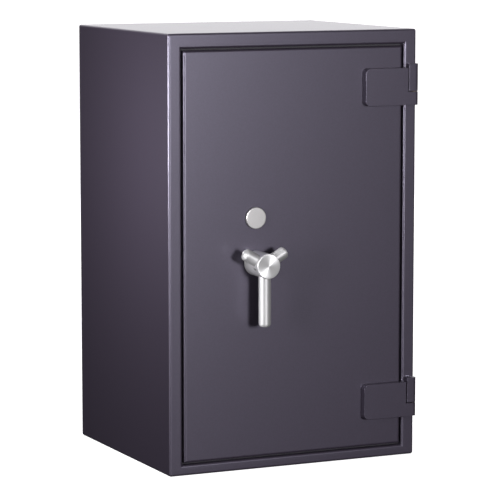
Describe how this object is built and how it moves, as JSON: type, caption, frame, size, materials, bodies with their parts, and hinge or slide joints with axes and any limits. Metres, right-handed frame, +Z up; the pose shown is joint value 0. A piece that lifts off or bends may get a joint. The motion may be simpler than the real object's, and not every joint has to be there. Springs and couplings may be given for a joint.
{
  "type": "free-standing key safe",
  "caption": "Free-standing steel safe with an external-hinged door, turning handle, covered keyhole, sliding bolts, lever lock and shelves.",
  "frame": {"origin": "middle of the underside of the base, on the floor", "axes": "+Z up, the door faces -Y, +X to the right of a person facing the door"},
  "size_m": [0.5, 0.49, 0.8],
  "materials": {
    "powder_coat": "fine satin graphite powder coat",
    "primer": "pale grey satin paint",
    "barrier": "rough cast",
    "stainless": "satin turned",
    "steel": "bright turned",
    "zinc": "zinc plated, dull",
    "brass": "machined",
    "rubber": "matt",
    "seal": "matt strip"
  },
  "bodies": {
    "cabinet": {"anchor_plug_left": "rubber", "anchor_plug_right": "rubber", "back_panel": "powder_coat", "barrier_fill": "barrier", "door_frame": "powder_coat", "fire_seal": "seal", "inner_liner": "primer", "lower_hinge_knuckle": "powder_coat", "lower_hinge_pin": "steel", "lower_hinge_washer": "brass", "lower_shelf": "primer", "outer_shell": "powder_coat", "shelf_rail_left": "zinc", "shelf_rail_right": "zinc", "upper_hinge_knuckle": "powder_coat", "upper_hinge_pin": "steel", "upper_hinge_washer": "brass", "upper_shelf": "primer"},
    "door": {"cover_screw_1": "zinc", "cover_screw_2": "zinc", "cover_screw_3": "zinc", "cover_screw_4": "zinc", "dog_bolt_1": "steel", "dog_bolt_2": "steel", "dog_bolt_3": "steel", "door_barrier": "barrier", "door_pan": "primer", "door_plate": "powder_coat", "hard_plate": "steel", "inner_cover": "primer", "key_escutcheon": "steel", "lock_case": "zinc", "lock_cover": "zinc", "lock_screw_1": "zinc", "lock_screw_2": "zinc", "lower_bolt_guide": "zinc", "lower_hinge_strap": "powder_coat", "spindle_bush": "brass", "upper_bolt_guide": "zinc", "upper_hinge_strap": "powder_coat"},
    "handle": {"handle_grub_screw": "steel", "handle_hub": "stainless", "handle_left_arm": "stainless", "handle_long_arm": "stainless", "handle_right_arm": "stainless", "pinion": "steel", "spindle": "steel"},
    "boltwork": {"bolt_1": "steel", "bolt_2": "steel", "bolt_3": "steel", "bolt_4": "steel", "bolt_bar": "zinc", "rack": "steel"},
    "key_barrel": {"key_barrel": "brass"},
    "levers": {"lock_lever_1": "brass", "lock_lever_2": "brass", "lock_lever_3": "brass"},
    "lock_bolt": {"lock_bolt": "brass"},
    "key_cover": {"key_cover": "stainless"}
  },
  "joints": [
    {"name": "door_swing", "type": "hinge", "parent": "cabinet", "child": "door", "pos_m": [0.2409, -0.2229, 0.4], "axis": [0, 0, 1], "range_deg": [0, 180]},
    {"name": "handle_turn", "type": "hinge", "parent": "door", "child": "handle", "pos_m": [-0.08, -0.257, 0.382], "axis": [0, 1, 0], "range_deg": [0, 90]},
    {"name": "bolt_throw", "type": "slide", "parent": "door", "child": "boltwork", "axis": [-1, 0, 0], "range_m": [0, 0.02985]},
    {"name": "lock_bolt_slide", "type": "slide", "parent": "door", "child": "lock_bolt", "axis": [0, 0, -1], "range_m": [0, 0.01]},
    {"name": "key_turn", "type": "hinge", "parent": "door", "child": "key_barrel", "pos_m": [-0.08, -0.17, 0.464], "axis": [0, 1, 0], "range_deg": [0, 180]},
    {"name": "lever_lift", "type": "hinge", "parent": "door", "child": "levers", "pos_m": [-0.098, -0.168, 0.5], "axis": [0, 1, 0], "range_deg": [0, 5]},
    {"name": "key_cover_swing", "type": "hinge", "parent": "door", "child": "key_cover", "pos_m": [-0.08, -0.2197, 0.478], "axis": [0, 1, 0], "range_deg": [-120, 120]}
  ],
  "couplings": [
    {"joint": "bolt_throw", "follows": "handle_turn", "m_per_rad": 0.019},
    {"joint": "key_turn", "follows": "lock_bolt_slide", "rad_per_m": 314.15},
    {"joint": "lever_lift", "follows": "lock_bolt_slide", "rad_per_m": 8.72}
  ]
}
